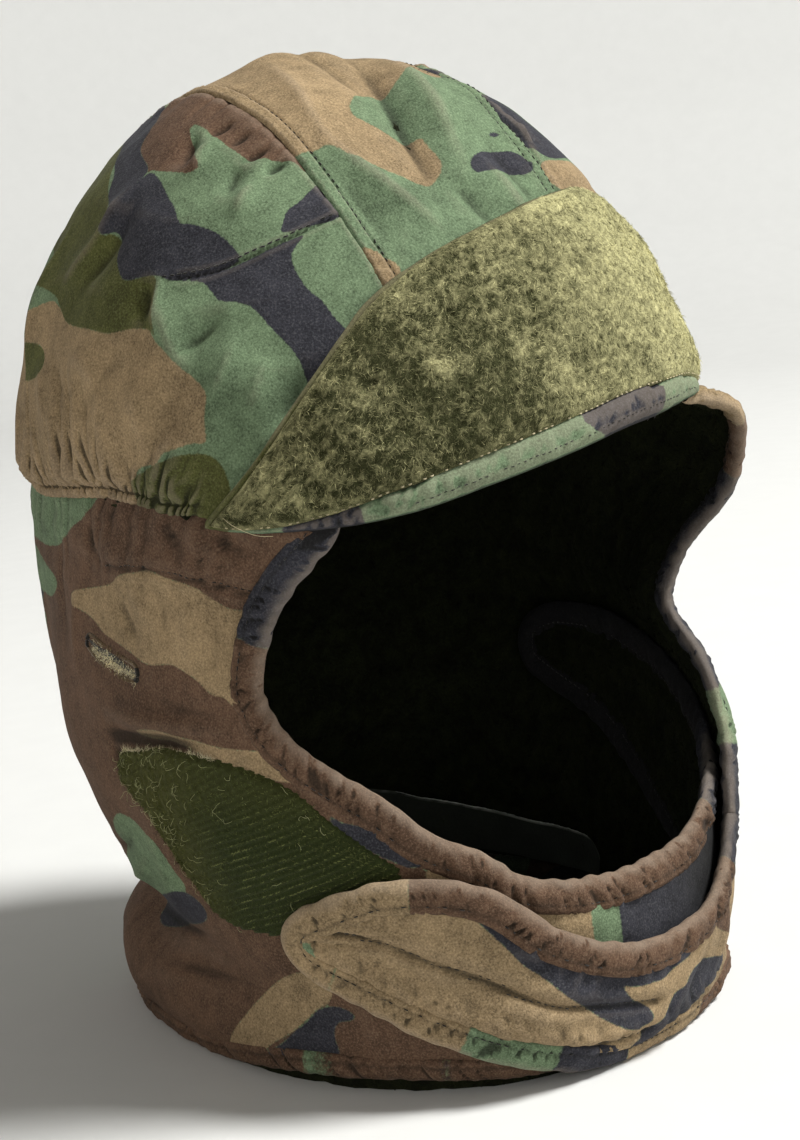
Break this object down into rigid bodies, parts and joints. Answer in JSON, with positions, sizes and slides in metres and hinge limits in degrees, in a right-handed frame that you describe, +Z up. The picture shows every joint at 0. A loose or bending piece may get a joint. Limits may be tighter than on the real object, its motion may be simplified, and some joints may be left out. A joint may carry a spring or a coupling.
{
  "type": "helmet liner cap",
  "caption": "Pile-lined cold-weather cap worn under a helmet: gathered crown, turned-up pile peak, neck wall open at the face with crossed chin flaps.",
  "frame": {"origin": "on the table under the middle of the bounding box", "axes": "+Z up from the hem plane to the crown, -Y out of the face opening, +X to the wearer's left"},
  "size_m": [0.193, 0.2256, 0.2823],
  "materials": {
    "camouflage_cloth": "faded cotton and nylon twill printed in four-colour woodland camouflage",
    "lining_pile": "dark olive wool pile",
    "peak_pile": "short olive wool pile",
    "bias_tape": "faded brown cotton bias tape",
    "loop_tape": "dark green ribbed loop tape",
    "label_cloth": "plain grey-green cloth",
    "thread": "frayed beige thread"
  },
  "bodies": {
    "root": {"crown_center_panel": "camouflage_cloth", "crown_side_panel_right": "camouflage_cloth", "crown_side_panel_left": "camouflage_cloth", "crown_lining": "lining_pile", "peak_cloth": "camouflage_cloth", "peak_pile": "peak_pile", "neck_panel_right": "camouflage_cloth", "edge_tape_right": "bias_tape", "neck_lining_right": "lining_pile", "neck_panel_left": "camouflage_cloth", "edge_tape_left": "bias_tape", "neck_lining_left": "lining_pile", "loop_patch": "loop_tape", "neck_label": "label_cloth", "buttonhole": "thread"}
  },
  "joints": []
}
